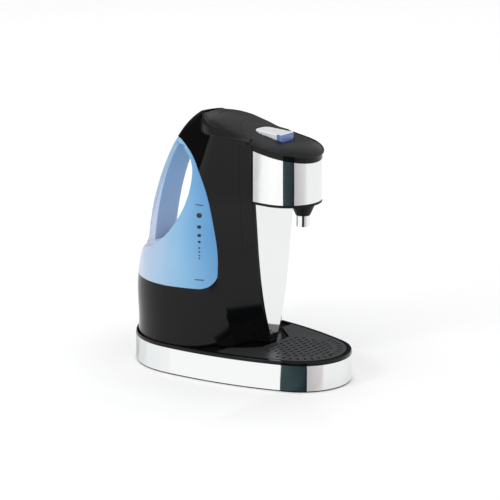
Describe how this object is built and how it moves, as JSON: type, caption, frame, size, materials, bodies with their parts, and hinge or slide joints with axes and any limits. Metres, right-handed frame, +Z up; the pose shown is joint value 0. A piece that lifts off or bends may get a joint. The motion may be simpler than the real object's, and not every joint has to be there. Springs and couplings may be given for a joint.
{
  "type": "hot water dispenser",
  "caption": "Countertop hot water dispenser with a see-through tank and grip, a hinged lid, a press button and a nozzle over a lift-out drip tray.",
  "frame": {"origin": "middle of the base on the table", "axes": "+Z up, -Y to the front where the cup stands, +X to the object's left"},
  "size_m": [0.164, 0.277, 0.2955],
  "materials": {
    "black_gloss": "polished",
    "black_matte": "fine matte",
    "chrome": "polished",
    "mirror": "polished",
    "tank_blue": "clear tinted",
    "silver": "metallic silver",
    "lens_blue": "clear tinted",
    "grid_grey": "satin",
    "rubber": "matt",
    "silicone": "matt",
    "steel": "bright",
    "aluminium": "cast",
    "white_plastic": "moulded",
    "lamp": "clear"
  },
  "bodies": {
    "base": {"rear_housing": "black_gloss", "column_housing": "black_gloss", "head_frame": "black_gloss", "base_deck": "black_gloss", "head_cover": "black_matte", "head_underside": "black_matte", "base_pan": "black_matte", "base_band": "chrome", "head_band": "chrome", "nozzle": "chrome", "mirror_panel": "mirror", "water_tank": "tank_blue", "rubber_feet": "rubber", "cord_gland": "rubber", "boiler_seal": "rubber", "inlet_valve": "rubber", "riser_tube": "silicone", "boiler_pot": "steel", "heating_element": "steel", "case_screws": "steel", "lid_pins": "steel", "button_pin": "steel", "thermostat": "steel", "heater_plate": "aluminium", "boiler_cap": "white_plastic", "tank_filter": "white_plastic", "thermal_fuse": "white_plastic", "terminal_block": "white_plastic", "tube_clips": "white_plastic", "switch_block": "white_plastic", "indicator_lamp": "lamp"},
    "lid": {"lid": "black_matte", "lid_seal": "rubber"},
    "button": {"button_paddle": "silver", "button_lens": "lens_blue"},
    "plunger": {"switch_plunger": "white_plastic"},
    "tray": {"drip_tray": "black_matte"},
    "grid": {"drip_grid": "grid_grey"}
  },
  "joints": [
    {"name": "lid_hinge", "type": "hinge", "parent": "base", "child": "lid", "pos_m": [0, -0.0345, 0.2736], "axis": [1, 0, 0], "range_deg": [0, 75]},
    {"name": "button_press", "type": "hinge", "parent": "base", "child": "button", "pos_m": [0, -0.025, 0.277], "axis": [1, 0, 0], "range_deg": [0, 6.5], "stiffness_Nm_per_rad": 0.6, "springref_deg": -8.59},
    {"name": "plunger_slide", "type": "slide", "parent": "base", "child": "plunger", "axis": [0, 0, -1], "range_m": [0, 0.0026]},
    {"name": "tray_lift", "type": "slide", "parent": "base", "child": "tray", "axis": [0, 0, 1], "range_m": [0, 0.04]},
    {"name": "grid_lift", "type": "slide", "parent": "tray", "child": "grid", "axis": [0, 0, 1], "range_m": [0, 0.03]}
  ],
  "couplings": [
    {"joint": "plunger_slide", "follows": "button_press", "m_per_rad": 0.0221}
  ]
}
